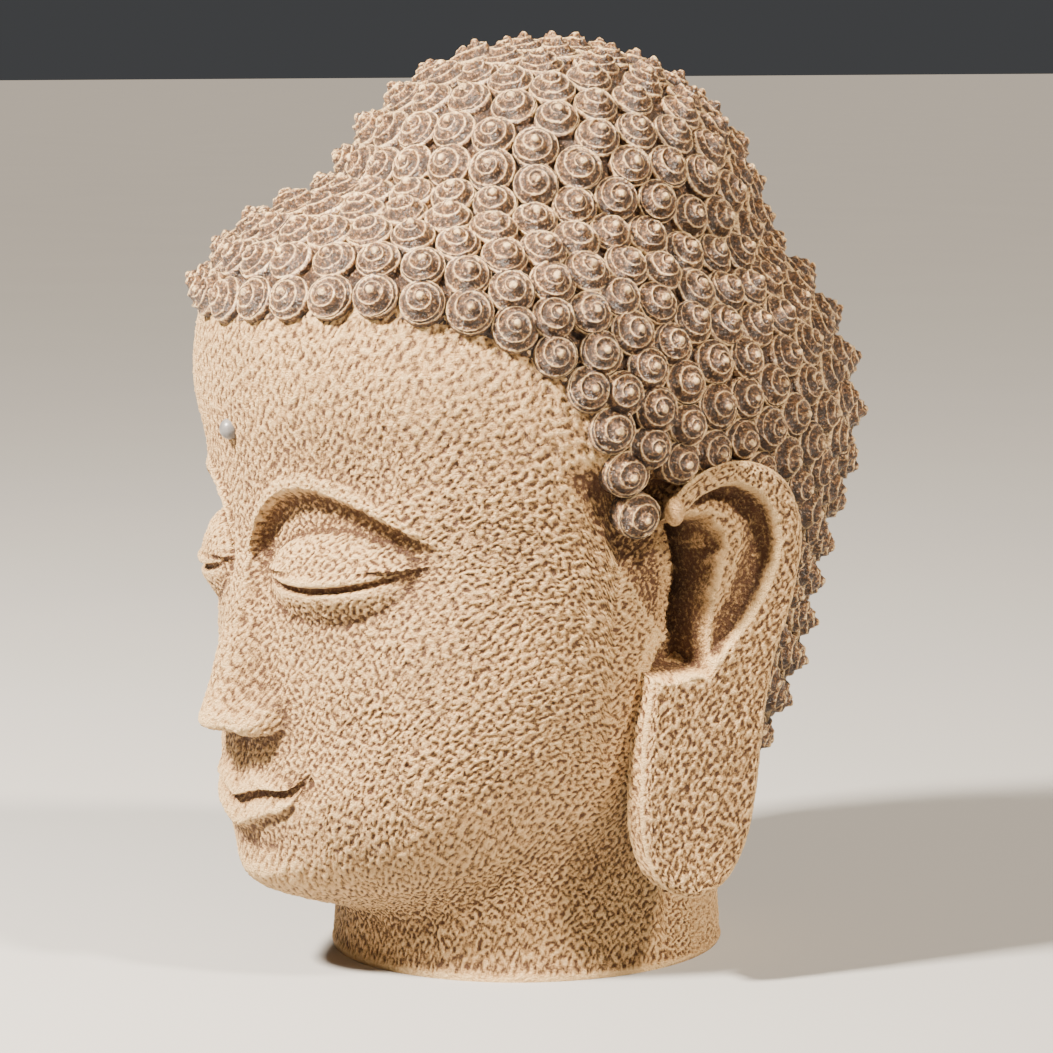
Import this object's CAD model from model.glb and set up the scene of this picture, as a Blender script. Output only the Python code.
"""Dresses a cast head with snail-shell curls in its stone skin, on a plain floor in soft light.

The skin, the curls and the ears follow the same forms as the solid, cut much finer and worked with their
relief: the pitted skin, the turns of each shell curl, the rims and hollows of the ears. Lengths inside the
form functions are counted in parts, 990 to the figure's height.
"""

import math

import bpy
import numpy as np
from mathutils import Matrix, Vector


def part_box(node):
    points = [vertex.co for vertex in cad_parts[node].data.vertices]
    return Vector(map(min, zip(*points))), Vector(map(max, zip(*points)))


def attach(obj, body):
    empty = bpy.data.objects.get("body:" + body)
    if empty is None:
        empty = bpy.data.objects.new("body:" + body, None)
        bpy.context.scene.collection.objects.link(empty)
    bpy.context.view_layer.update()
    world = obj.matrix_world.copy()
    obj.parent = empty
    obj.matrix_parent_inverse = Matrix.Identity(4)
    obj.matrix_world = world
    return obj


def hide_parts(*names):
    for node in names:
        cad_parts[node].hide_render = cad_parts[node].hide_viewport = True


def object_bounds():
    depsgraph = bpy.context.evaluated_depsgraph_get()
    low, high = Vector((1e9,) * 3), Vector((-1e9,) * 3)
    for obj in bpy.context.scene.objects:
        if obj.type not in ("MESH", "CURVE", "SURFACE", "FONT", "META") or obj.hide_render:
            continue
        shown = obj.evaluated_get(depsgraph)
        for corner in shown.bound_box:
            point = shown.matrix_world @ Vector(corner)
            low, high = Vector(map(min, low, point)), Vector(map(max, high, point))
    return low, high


bl_info = {
    "name": "Cast head with shell curls",
    "version": (1, 0, 0),
    "blender": (4, 5, 0),
    "location": "3D View > Sidebar > Cast head",
    "description": "Stone skin, shell curls, ears, bead and stage for a cast head",
    "category": "Object",
}

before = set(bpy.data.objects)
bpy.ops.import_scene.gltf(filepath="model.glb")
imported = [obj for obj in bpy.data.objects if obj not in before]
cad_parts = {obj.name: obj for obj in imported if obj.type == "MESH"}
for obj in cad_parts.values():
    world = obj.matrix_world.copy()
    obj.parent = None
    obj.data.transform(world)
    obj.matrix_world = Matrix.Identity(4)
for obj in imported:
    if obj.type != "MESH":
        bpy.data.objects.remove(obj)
CAD_BOX = [list(corner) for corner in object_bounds()]
BEAD_LOW, BEAD_HIGH = (np.array(corner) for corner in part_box("urna_bead"))

# Proportions are counted in parts, 990 from the ground to the top curl's tip; no ray is longer than FAR
HEIGHT = 0.500
PARTS_TALL = 990.0
PART = HEIGHT / PARTS_TALL
FAR = HEIGHT / PART
EYE_LEVEL = 455.0

# Masses: middle Y, middle Z, half width, half depth, half height and squareness upward
CRANIUM = (5.0, 580.0, 303.0, 360.0, 262.0, 2.0)
OCCIPUT = (26.0, 414.0, 262.0, 288.0, 286.0, 2.0)
FRONT_HAIR = (-80.0, 670.0, 262.0, 284.0, 158.0, 2.3)
FACE = (-48.0, 365.0, 270.0, 298.0, 298.0, 2.45)
CHIN = (-163.0, 186.0, 168.0, 172.0, 124.0, 2.2)
BUN = (22.0, 768.0, 222.0, 228.0, 196.0, 2.0)
NECK_HALF_WIDTH = 202.0
NECK_HALF_DEPTH = 213.0
NECK_FLARE = 0.022
NECK_FLARE_HEIGHT = 40.0
BLEND_WIDE = 60.0
BLEND_BUN = 28.0
BLEND_NECK = 22.0

# Face landmarks by the rule of thirds from hair to chin, with the eyes at half the head's height
BROW_START = 454.0
BROW_ARCH = 64.0
BROW_INNER = 20.0
BROW_LENGTH = 196.0
BROW_CREST = 4.5
SOCKET_DEPTH = 17.0
EYE_MIDDLE = 119.0
EYE_HEIGHT = 442.0
EYE_HALF_WIDTH = 76.0
EYE_ABOVE = 42.0
EYE_BELOW = 54.0
EYE_BULGE = 20.0
LID_LINE = 429.0
LID_MIDDLE = 121.0
LID_HALF_WIDTH = 69.0
LID_OPENING = 9.0
LID_OPENING_DEPTH = 7.5
LID_EDGE = 3.2
NOSE_ROOT = 485.0
NOSE_TIP = 294.0
NOSE_BASE = 266.0
NOSE_HALF_WIDTH = 27.0
NOSE_RISE = 42.0
WING_SIDE = 44.0
WING_RISE = 24.0
NOSTRIL_SIDE = 27.0
NOSTRIL_DEPTH = 6.0
MOUTH_LEVEL = 204.0
MOUTH_HALF = 84.0
UPPER_LIP = 29.0
LOWER_LIP = 33.0
UPPER_LIP_RISE = 9.0
LOWER_LIP_RISE = 10.5
MOUTH_GROOVE = 6.5
MUZZLE_RISE = 12.0
CHIN_LEVEL = 126.0
CHIN_RISE = 25.0
CHIN_HOLLOW = 11.0
CHIN_HOLLOW_DROP = 50.0

# Hair: the edge of the hair as turn from the front in degrees and height, and the pole its rows close on
HAIR_EDGE_TURN = (0, 30, 46, 55, 63, 69, 74, 78, 81, 92, 104, 118, 135, 180)
HAIR_EDGE_HEIGHT = (692, 707, 696, 677, 648, 615, 565, 502, 464, 410, 315, 246, 212, 200)
HAIR_POLE = (0.0, 180.0, 870.0)
HAIR_ROWS = 15
CURL_PITCH = 49.0
CURL_RADIUS = 23.5
CURL_RISE = 26.0
EVENING_STEPS = 24

# Ear: its outline and the edge where the skin draws back in it, as (Y, Z) points from front over the top
EAR_OUTLINE = ((-20, 500), (14, 541), (64, 552), (108, 528), (127, 474), (119, 408), (102, 345), (93, 282),
               (88, 216), (79, 158), (58, 115), (26, 98), (-4, 105), (-26, 131), (-37, 175), (-39, 223),
               (-38, 277), (-32, 330), (-26, 410))
EAR_OPENING_REAR = ((17, 518), (50, 527), (82, 510), (97, 472), (90, 432), (74, 398), (55, 372), (40, 356),
                    (28, 346))
EAR_OPENING = ((-2, 497), *EAR_OPENING_REAR, (18, 339), (8, 334), (0, 331), (-8, 330), (-14, 333),
               (-16, 342), (-9, 358), (4, 382), (18, 436))
EAR_FACE_X = 290.0
EAR_HINGE = (-20.0, 480.0)
EAR_SPREAD = 0.22
EAR_LEAN = 0.05
EAR_FRONT = 20.0
EAR_BACK = 26.0
EAR_SUNK = 40.0
EAR_FREE_BELOW = 310.0
EAR_ROOT = (20.0, 380.0, -95.0)
EAR_GROOVE = 17.0
EAR_BOWL = 44.0

# Scalp that the ear covers, where no curl grows
EAR_COVER_SIDE = 150.0
EAR_COVER_FRONT = -38.0
EAR_COVER_BACK = 96.0
EAR_COVER_TOP = 534.0

# Camera: where it looks, from how far, and its lens in millimetres
CAMERA_AZIMUTH = 58.0
CAMERA_ELEVATION = 7.5
CAMERA_DISTANCE = 2.026
CAMERA_TARGET = (0.0, 0.0, 0.229)
CAMERA_LENS = 126.5
CAMERA_SENSOR = 36.0

# Studio: half the floor's side, the world's colour and strength, and for each lamp its name, kind, place,
# target, power, colour and size
FLOOR_REACH = 40.0
WORLD_COLOUR = (0.80, 0.82, 0.86, 1.0)
WORLD_STRENGTH = 0.07
HEAD_MIDDLE = (0.0, 0.0, 0.27)
LAMPS = (
    ("key", "AREA", (0.05, -1.55, 1.75), HEAD_MIDDLE, 330.0, (1.0, 0.92, 0.81), {"size": 0.24}),
    ("fill", "AREA", (2.0, -0.8, 0.7), HEAD_MIDDLE, 3.0, (1.0, 0.95, 0.90), {"size": 1.4}),
    ("back", "SUN", (1.0, 0.42, 1.10), (0.0, 0.0, 0.0), 7.0, (1.0, 0.88, 0.73),
     {"angle": math.radians(7.0)}),
)

# How finely the forms are cut: upright lines and rows of the skin, and points of the other forms
FRONT_TURN = 36.0
SIDE_TURN = 100.0
FRONT_LINES = 242
SIDE_LINES = 138
REAR_TURN = 118.0
REAR_LINES = 30
NAPE_LINES = 100
SKIN_ROWS = 345
SPARE_LINES = 12
SCALP_LINES = 120
SCALP_ROWS = 40
SHELL_SIDES = 18
EAR_ROWS = 200
EAR_COLUMNS = 104
EAR_WALL_RINGS = 14
EAR_BACK_RINGS = 10
BEAD_LINES = 48
EAR_KNOB_LINES = 32
UNDERSIDE_RINGS = 12
UNDERSIDE_SKIP = 5

# Upper edge of the skin: how far it runs on under the hair, and the turns between which it comes down from
# the temple to the edge of the hair
SKIN_UNDER_HAIR = 26.0
EAR_TURN = (102.0, 110.0)

# One shell curl: radius, height and relief of the rings on its knob and foot, turns of its lip, how high
# the lip starts and how it falls with the turns and their square, and the lines along it across a whorl
KNOB_RADIUS = 0.23
KNOB_RINGS = ((0.08, 0.99, 0.90), (0.15, 0.95, 0.75), (0.20, 0.87, 0.40))
WHORLS = 2
LIP_START = 0.84
LIP_FALL = 0.07
LIP_STEEPER = 0.11
WHORL_STOPS = (0.0, 0.11, 0.40, 0.70, 0.88)
STOP_FALL = (0.0, 0.15, 0.66, 0.90, 1.0)
STOP_DROP = (0.0, 0.04, 0.07, 0.06, 0.04)
STOP_RELIEF = (1.0, 0.40, 0.08, 0.24, 0.58)
FOOT_RINGS = ((1.03, 0.04, 0.30), (1.05, -0.60, 0.03))
KNOB_FOLD_RELIEF = 0.15
CURL_LEAN = 0.16
CURL_ROUGH = 3.0
CURL_ROUGH_PITCH = 5.0
CURL_MOTTLE = 0.40
CURL_MOTTLE_PITCH = 6.0

# Inside of the ear: its middle ridge, its bowl, the hollow over it and its whole cut as (Y, Z) points, the
# knob at its root, and its front by the cheek
EAR_RIDGE = ((-6, 502), (22, 499), (42, 492), (53, 480), (55, 464), (48, 440), (40, 418), (30, 398),
             (21, 377), (17, 356), (10, 344))
EAR_BOWL_EDGE = ((-40, 463), (-7, 465), (15, 468), (33, 462), (37, 444), (32, 420), (20, 404), (9, 394),
                 (6, 380), (3, 366), (-12, 356), (-40, 358))
EAR_HOLLOW_EDGE = ((-30, 493), (0, 492), (20, 488), (36, 480), (43, 467), (36, 452), (0, 450), (-30, 450))
EAR_CUT = ((-1, 501), *EAR_OPENING_REAR, (17, 338), (4, 332), (-10, 329), (-24, 331), (-38, 338),
           (-46, 352), (-46, 380), (-44, 430), (-20, 476))
EAR_CUT_BOTTOM = 331.0
EAR_HOLLOW = 27.0
EAR_RIDGE_DEPTH = 4.0
EAR_RIDGE_FALL = 26.0
EAR_EDGE = 9.0
EAR_INNER_EDGE = 5.0
EAR_RECESS = 95.0
EAR_CROWDING = 0.063
EAR_KNOB = (-16.0, 504.0, 4.0)
EAR_KNOB_SIZE = (10.0, 10.5, 15.0)
EAR_KNOB_RELIEF = 0.62
EAR_FRONT_BACK = 20.0
EAR_FRONT_TOP = 476.0
EAR_UNDER_SKIN = 8.0
EAR_GROOVE_FOOT = 345.0
LOBE_MIDDLE = 24.0
EAR_SHADE = 0.55

# Relief that sets the colour: lines to the neighbours compared, and how strongly hollows darken
NEAR_REACH = 2
NEAR_WEIGHT = 3.0
EAR_REACH = 4
SKIN_REACH = 10
WIDE_WEIGHT = 1.3
TEMPLE_SHADE = 0.32

# Hammered skin, in spacings of its pits: how far the lattice is bent, the pitch of each noise and the walls
# of the pits. Below them, in parts, the front and top of the calmer nape
PIT_BEND = 1.5
BEND_PITCH = 1.4
GRAIN_PITCH = 0.42
LUMP_PITCH = 9.0
PIT_FLOOR = 0.08
PIT_WALL = 0.72
CALM_NAPE_FRONT = 60.0
CALM_NAPE_TOP = 170.0

# Noises of the stone's look, each with its scale, detail and roughness, and how dark and pale its slow
# patches of tone become
FINE_NOISE = (800.0, 3.0, 0.65)
SPOT_NOISE = (520.0, 3.0, 0.65)
SLOW_NOISE = (16.0, 4.0, 0.55)
SLOW_TONES = (0.84, 1.1)

# Skin between the curls and under the neck, and the foot, tucked in over its last parts
SCALP_UNDER = 2.5
SCALP_ROUGH = 2.0
SCALP_ROUGH_TURN = 0.03
SCALP_RELIEF = 0.08
UNDERSIDE_ROUGH = 1.6
UNDERSIDE_PITCH = 16.0
FOOT_TUCK = 0.012
FOOT_TUCK_HEIGHT = 4.0

# Elevations of the skin's rows from the inner centre in degrees, and where the rows crowd: at the eyes, the
# mouth and the foot, each with its spread and how many more rows it has
ROWS_FROM = -67.0
ROWS_SPAN = 105.0
ROW_CROWDS = ((-1.0, 13.0, 0.9), (-33.0, 10.0, 0.9), (-63.0, 4.5, 2.6))

# The sunk corner between the cheek and the ear, below the first curls, and the scalp sunk round it
TEMPLE_CORNER = (-13.0, 375.0)
TEMPLE_RUN = 0.70
TEMPLE_SLOPE = 0.55
TEMPLE_DEPTH = 20.0
TEMPLE_BACK = 26.0
TEMPLE_FADE = 530.0
TEMPLE_TOP = 552.0
SCALP_SUNK = 110.0
SCALP_SUNK_FRONT = -130.0


def soft_step(t):
    """Rises from 0 to 1 with level ends as t goes from 0 to 1."""
    t = np.clip(t, 0.0, 1.0)
    return t * t * (3.0 - 2.0 * t)


def bell(t):
    """A bump of height 1 at t = 0 that dies away past 1."""
    return np.exp(-t * t)


def egg(x, y, z, mass):
    """Roughly the distance to an egg shape, negative inside."""
    mid_y, mid_z, half_width, half_depth, half_height, square = mass
    plan = np.hypot(x / half_width, (y - mid_y) / half_depth)
    tall = np.abs((z - mid_z) / half_height)
    size = (half_width + half_depth + half_height) / 3.0
    return ((plan ** square + tall ** square) ** (1.0 / square) - 1.0) * size


def blend(first, second, width):
    """Joins two distances with a fillet of about the given width."""
    share = np.clip(0.5 + 0.5 * (second - first) / width, 0.0, 1.0)
    return second * (1.0 - share) + first * share - width * share * (1.0 - share)


def neck(x, y, z):
    """Roughly the distance to the neck, which flares a little where it meets the ground."""
    flare = 1.0 + NECK_FLARE * np.exp(-np.maximum(z, 0.0) / NECK_FLARE_HEIGHT)
    plan = np.hypot(x / NECK_HALF_WIDTH, y / NECK_HALF_DEPTH)
    distance = (plan - flare) * 0.5 * (NECK_HALF_WIDTH + NECK_HALF_DEPTH)
    return np.where(z > FACE[1], FAR, distance)


def masses(x, y, z):
    """Roughly the distance to the whole head without face, ears or curls."""
    distance = egg(x, y, z, CRANIUM)
    for mass in (OCCIPUT, FRONT_HAIR, FACE, CHIN):
        distance = blend(distance, egg(x, y, z, mass), BLEND_WIDE)
    distance = blend(distance, egg(x, y, z, BUN), BLEND_BUN)
    return blend(distance, neck(x, y, z), BLEND_NECK)


def march(inside, reach, steps=32):
    """Halves the interval from 0 to reach until it closes on the skin; inside(length) says what is in."""
    low = np.zeros_like(reach)
    high = reach
    for _ in range(steps):
        middle = 0.5 * (low + high)
        within = inside(middle)
        low = np.where(within, middle, low)
        high = np.where(within, high, middle)
    return 0.5 * (low + high)


def plan_reach(angle, height):
    """How far the masses reach from the upright axis, at the given turns and heights."""
    return march(lambda length: masses(length * np.sin(angle), -length * np.cos(angle), height) < 0.0,
                 np.full(angle.shape, FAR))


def unit(vectors, least=0.0):
    """The vectors brought to length 1; a small least length keeps empty ones at 0."""
    return vectors / (np.linalg.norm(vectors, axis=-1, keepdims=True) + least)


def run_along(path):
    """How far along a path each of its points lies."""
    return np.concatenate(([0.0], np.cumsum(np.linalg.norm(np.diff(path, axis=0), axis=-1))))


def along(directions, lengths):
    """Points at the given lengths from the inner centre."""
    points = directions * lengths[..., None]
    points[..., 2] += EYE_LEVEL
    return points


def directions_of(points):
    """Unit vectors from the inner centre to the points."""
    return unit(points - np.array((0.0, 0.0, EYE_LEVEL)))


def brow_line(side):
    """How high the brow arches at a distance from the middle of the face."""
    share = np.clip((side - BROW_INNER) / BROW_LENGTH, 0.0, 1.0)
    return BROW_START + BROW_ARCH * np.sin(np.pi * share ** 0.75) ** 0.9 + 10.0 * share


def brow_relief(x, z):
    """The arched brow, the hollow under it and the full upper lid."""
    side = np.abs(x)
    below = brow_line(side) - z
    span = soft_step((side - 10.0) / 26.0) * (1.0 - soft_step((side - 176.0) / 50.0))
    hollow = soft_step((below + 3.0) / 10.0) * (1.0 - soft_step((below - 10.0) / 95.0))
    crest = soft_step((side - 4.0) / 30.0) * (1.0 - soft_step((side - 170.0) / 50.0))
    relief = BROW_CREST * bell((below + 8.0) / 12.0) * crest - SOCKET_DEPTH * hollow * span
    across = (side - EYE_MIDDLE) / EYE_HALF_WIDTH
    upward = z - EYE_HEIGHT - 4.0 * across
    reach = np.where(upward > 0.0, EYE_ABOVE, EYE_BELOW)
    dome = np.maximum(0.0, 1.0 - across ** 2 - (upward / reach) ** 2)
    return relief + EYE_BULGE * np.where(upward > 0.0, dome ** 0.5, dome)


def lid_relief(x, z):
    """The narrow opening under the bowed edge of the upper lid, and the edges of both lids."""
    across = (np.abs(x) - LID_MIDDLE) / LID_HALF_WIDTH
    bow = np.sqrt(np.maximum(0.0, 1.0 - across ** 2))
    line = LID_LINE + 9.0 * across ** 2 + 5.0 * across
    slit = LID_OPENING * bow
    depth = soft_step((line - z) / 2.2) * soft_step((z - line + slit) / 3.5)
    relief = -LID_OPENING_DEPTH * depth * bow
    upper = bell((z - line - 5.0) / 5.5) * soft_step((1.3 - np.abs(across)) / 0.35)
    lower = bell((z - line + slit + 6.0) / 7.0) * soft_step((1.0 - np.abs(across)) / 0.4)
    fold = bell((z - line + 1.0) / 3.0) * soft_step((across - 0.92) / 0.1) * soft_step((1.3 - across) / 0.3)
    return relief + LID_EDGE * (upper + 0.5 * lower - 0.8 * fold)


def nose_relief(x, z):
    """The bridge, tip, wings and nostrils of the nose."""
    side = np.abs(x)
    down = np.clip((NOSE_ROOT - z) / (NOSE_ROOT - NOSE_TIP), 0.0, 1.0)
    wide = NOSE_HALF_WIDTH + 9.0 * down ** 2 + 10.0 * (1.0 - down) ** 4
    base = soft_step((z - NOSE_BASE + 9.0) / 50.0)
    relief = NOSE_RISE * down ** 1.5 * base * np.exp(-np.abs(x / wide) ** 2.5)
    relief += 15.0 * down ** 1.5 * bell(x / 70.0) * soft_step((z - NOSE_BASE + 16.0) / 50.0)
    relief += 6.0 * bell(x / 26.0) * bell((z - NOSE_TIP) / 22.0) * base
    wing = bell((side - WING_SIDE) / 20.0) * bell((z - NOSE_BASE - 24.0) / 23.0)
    relief += WING_RISE * wing * soft_step((z - NOSE_BASE + 2.0) / 12.0)
    relief -= NOSTRIL_DEPTH * bell((side - NOSTRIL_SIDE) / 11.0) * bell((z - NOSE_BASE - 4.0) / 6.0)
    return relief - 5.0 * bell((side - WING_SIDE - 25.0) / 8.0) * bell((z - NOSE_BASE - 22.0) / 22.0)


def mouth_relief(x, z):
    """Closed lips on both sides of a bowed line, and the groove that runs down to them from the nose."""
    share = x / MOUTH_HALF
    bow = np.sqrt(np.maximum(0.0, 1.0 - share ** 2))
    line = MOUTH_LEVEL + 12.0 * share ** 2 - 3.0 * np.cos(2.0 * np.pi * share) * bow
    upper = np.maximum(UPPER_LIP * bow ** 0.9 * (1.0 - 0.22 * bell(x / 10.0)), 0.5)
    lower = np.maximum(LOWER_LIP * bow ** 0.8, 0.5)
    up = np.clip((z - line) / upper, -1.0, 2.0)
    down = np.clip((line - z) / lower, -1.0, 2.0)
    relief = UPPER_LIP_RISE * soft_step((up + 0.02) / 0.42) * (1.0 - soft_step((up - 0.45) / 0.6))
    relief += LOWER_LIP_RISE * soft_step((down + 0.02) / 0.48) * (1.0 - soft_step((down - 0.5) / 0.6))
    relief *= bow ** 0.7
    relief -= MOUTH_GROOVE * bell((z - line) / 3.4) * soft_step((1.1 - np.abs(share)) / 0.15)
    relief -= 7.0 * bell((np.abs(x) - MOUTH_HALF - 8.0) / 11.0) * bell((z - MOUTH_LEVEL - 13.0) / 12.0)
    return relief - 5.0 * bell(x / 10.0) * bell((z - MOUTH_LEVEL - 46.0) / 15.0)


def jaw_relief(x, z):
    """The fullness round the mouth, the hollow under the lower lip and the round chin."""
    relief = MUZZLE_RISE * bell(x / 118.0) * bell((z - MOUTH_LEVEL) / 66.0)
    relief += CHIN_RISE * bell(x / 72.0) * bell((z - CHIN_LEVEL) / 42.0)
    return relief - CHIN_HOLLOW * bell(x / 54.0) * bell((z - MOUTH_LEVEL + CHIN_HOLLOW_DROP) / 15.0)


def face_relief(x, y, z):
    """How far the face stands out from the plain masses."""
    front = soft_step((-y - 40.0) / 150.0)
    features = brow_relief(x, z) + lid_relief(x, z) + nose_relief(x, z)
    return (features + mouth_relief(x, z) + jaw_relief(x, z)) * front


def bare(directions):
    """Lengths to the masses alone in the given directions, and the points there."""
    reach = np.full(directions.shape[:-1], FAR)
    lengths = march(lambda length: masses(*np.moveaxis(along(directions, length), -1, 0)) < 0.0, reach)
    return lengths, along(directions, lengths)


def skin(directions):
    """Points of the head with its face in the given directions."""
    lengths, points = bare(directions)
    return along(directions, lengths + face_relief(*np.moveaxis(points, -1, 0)))


def skin_normals(directions):
    """Outward normals of the masses, from points a little way to each side."""
    turn = 0.004
    side = unit(np.cross(directions, np.array((0.0, 0.0, 1.0))), 1e-9)
    up = np.cross(side, directions)
    ring = [bare(directions_of(along(directions + turn * step, np.ones(len(directions)))))[1]
            for step in (side, -side, up, -up)]
    normals = unit(np.cross(ring[0] - ring[1], ring[2] - ring[3]))
    return normals * np.sign((normals * directions).sum(axis=-1, keepdims=True))


def hair_edge(turn):
    """Directions to the edge of the hair at the given turns from the front, in degrees."""
    height = np.interp(turn, HAIR_EDGE_TURN, HAIR_EDGE_HEIGHT)
    angle = np.radians(turn)
    out = plan_reach(angle, height)
    return directions_of(np.stack((out * np.sin(angle), -out * np.cos(angle), height), axis=-1))


def toward_pole(edge, share):
    """Directions a share of the way along great arcs from the edge of the hair to the pole of its rows."""
    pole = directions_of(np.array(HAIR_POLE))
    angle = np.arccos(np.clip(edge @ pole, -1.0, 1.0))[:, None]
    return unit(np.sin((1.0 - share) * angle) * edge + np.sin(share * angle) * pole)


def hair_row(share, samples=181):
    """The left half of one row of hair, as directions from the front to the back."""
    return toward_pole(hair_edge(np.linspace(0.0, 180.0, samples)), share)


def row_curls(share, offset):
    """Evenly spaced curls along one row; every other row starts half a step on."""
    row = hair_row(share)
    run = run_along(bare(row)[1])
    count = max(1, round(run[-1] / CURL_PITCH))
    if offset:
        places = (np.arange(count) + 0.5) * run[-1] / count
    else:
        places = np.arange(count + 1) * run[-1] / count
    left = np.stack([np.interp(places, run, row[:, axis]) for axis in range(3)], axis=-1)
    right = left[np.abs(left[:, 0]) > 1e-6] * np.array((-1.0, 1.0, 1.0))
    return np.concatenate((left, right))


def even_out(directions, fixed):
    """Lets curls that crowd each other move apart over the scalp; the first row stays."""
    for _ in range(EVENING_STEPS):
        points = bare(directions)[1]
        gap = points[:, None] - points[None]
        distance = np.linalg.norm(gap, axis=-1) + np.eye(len(points)) * FAR
        push = np.maximum(0.0, CURL_PITCH - distance) / distance
        step = 0.35 * (gap * push[..., None]).sum(axis=1)
        step[fixed] = 0.0
        directions = directions_of(points + step)
    return directions


def curl_directions():
    """Directions of all the curls' middles."""
    rows = [row_curls((number + 0.5) / HAIR_ROWS, number % 2) for number in range(HAIR_ROWS)]
    everything = np.concatenate((*rows, directions_of(np.array([HAIR_POLE]))))
    fixed = np.arange(len(everything)) < len(rows[0])
    spread = even_out(everything, fixed)
    points = bare(spread)[1]
    beside = (points[:, 1] > EAR_COVER_FRONT) & (points[:, 1] < EAR_COVER_BACK)
    under_ear = beside & (np.abs(points[:, 0]) > EAR_COVER_SIDE) & (points[:, 2] < EAR_COVER_TOP)
    return spread[~under_ear]


def loop_curve(knots, samples):
    """A smooth closed curve through the knots, with evenly numbered samples."""
    knots = np.array(knots)
    place = np.arange(samples) * len(knots) / samples
    start = place.astype(int)
    t = (place - start)[:, None]
    before, here, after, beyond = (knots[(start + step) % len(knots)] for step in (-1, 0, 1, 2))
    bend = 2.0 * before - 5.0 * here + 4.0 * after - beyond
    swing = -before + 3.0 * here - 3.0 * after + beyond
    return here + 0.5 * t * (after - before + t * (bend + t * swing))


def ear_place(y, z, height):
    """A point of the left ear that stands the given height off the ear's own plane."""
    x = EAR_FACE_X + EAR_SPREAD * (y - EAR_HINGE[0]) - EAR_LEAN * (EAR_HINGE[1] - z) + height
    return np.stack((x, y, z), axis=-1)


def scatter(cells, salt):
    """An even random share for each whole-numbered cell: its numbers are multiplied, crossed and folded."""
    mixed = cells[..., 0] * 73856093 ^ cells[..., 1] * 19349663 ^ cells[..., 2] * 83492791 ^ salt * 40503
    mixed = (mixed ^ (mixed >> 13)) * 1274126177
    return ((mixed ^ (mixed >> 15)) & 65535) / 65535.0


def soft_noise(points, pitch, salt):
    """Random shares on a lattice of the given pitch, blended smoothly between its eight corners."""
    place = points / pitch
    low = np.floor(place).astype(np.int64)
    share = soft_step(place - low)
    total = np.zeros(points.shape[:-1])
    for corner in range(8):
        offset = np.array((corner & 1, corner >> 1 & 1, corner >> 2))
        weight = np.where(offset, share, 1.0 - share).prod(axis=-1)
        total += weight * scatter(low + offset, salt)
    return total


def pit_noise(points, pitch, salt):
    """Distance to the nearest of the points scattered one in each cell of a lattice, in pitches."""
    place = points / pitch
    low = np.floor(place).astype(np.int64)
    nearest = np.full(points.shape[:-1], 4.0)
    for number in range(27):
        cell = low + np.array((number % 3, number // 3 % 3, number // 9)) - 1
        seed = np.stack([scatter(cell, salt + axis) for axis in range(3)], axis=-1)
        nearest = np.minimum(nearest, np.sum((cell + seed - place) ** 2, axis=-1))
    return np.sqrt(nearest)


def hammered(points, sizes):
    """Depth of the worked skin: ragged pits with steep walls between short ridges, over slow lumps."""
    spacing = sizes.pit_spacing / PART
    swim = np.stack([soft_noise(points, BEND_PITCH * spacing, salt) for salt in (11, 12, 13)], axis=-1) - 0.5
    bent = points + PIT_BEND * spacing * swim
    wall = soft_step((pit_noise(bent, spacing, 1) - PIT_FLOOR) / PIT_WALL)
    grain = soft_noise(bent, GRAIN_PITCH * spacing, 5)
    lumps = soft_noise(points, LUMP_PITCH * spacing, 7)
    pits = sizes.pit_depth * (wall * (0.35 + 0.65 * grain) - 1.0)
    return (pits + sizes.lump_depth * (lumps - 1.0)) / PART


def worked_share(points):
    """How strongly the pits show: fully on the cheeks, less along lids, lips and the ground lip."""
    x, y, z = np.moveaxis(points, -1, 0)
    front = soft_step((-y - 80.0) / 80.0)
    eye = bell((np.abs(x) - LID_MIDDLE) / 80.0) * bell((z - LID_LINE + 4.0) / 15.0)
    mouth = bell(x / 90.0) * bell((z - MOUTH_LEVEL) / 34.0)
    nose = bell(x / 60.0) * bell((z - NOSE_TIP + 8.0) / 46.0)
    calm = np.maximum(np.maximum(0.75 * eye, 0.5 * mouth), 0.4 * nose) * front
    nape = 0.3 * soft_step((y - CALM_NAPE_FRONT) / 60.0) * (1.0 - soft_step((z - CALM_NAPE_TOP) / 40.0))
    return (1.0 - np.maximum(calm, nape)) * soft_step((z - 1.5) / 9.0)


def grid_normals(points):
    """Outward normals of a grid: across its lines, crossed with along them."""
    return unit(np.cross(np.gradient(points, axis=1), np.gradient(points, axis=0)), 1e-12)


def hollow(points, normals, lines):
    """How far neighbours some lines away stand above each point, as a share of their distance."""
    rise = np.zeros(points.shape[:2])
    distance = np.full(points.shape[:2], 1e-9)
    for axis in (0, 1):
        place = np.arange(points.shape[axis])
        for step in (lines, -lines):
            beside = np.take(points, np.clip(place + step, 0, len(place) - 1), axis=axis)
            rise += ((beside - points) * normals).sum(axis=-1)
            distance += np.linalg.norm(beside - points, axis=-1)
    return rise / distance


def relief_shares(points, normals, reach):
    """Share from 0 in pits and folds to 1 on worn ridges, from hollows close by and at a longer reach."""
    near = hollow(points, normals, NEAR_REACH)
    wide = hollow(points, normals, reach) * soft_step((points[..., 2] - 4.0) / 16.0)
    return np.clip(0.5 - NEAR_WEIGHT * near - WIDE_WEIGHT * wide, 0.0, 1.0)


def grid_faces(rows, lines):
    """Quads of a grid of points numbered row by row."""
    number = np.arange(rows * lines).reshape(rows, lines)
    corners = (number[:-1, :-1], number[:-1, 1:], number[1:, 1:], number[1:, :-1])
    return np.stack(corners, axis=-1).reshape(-1, 4)


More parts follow.
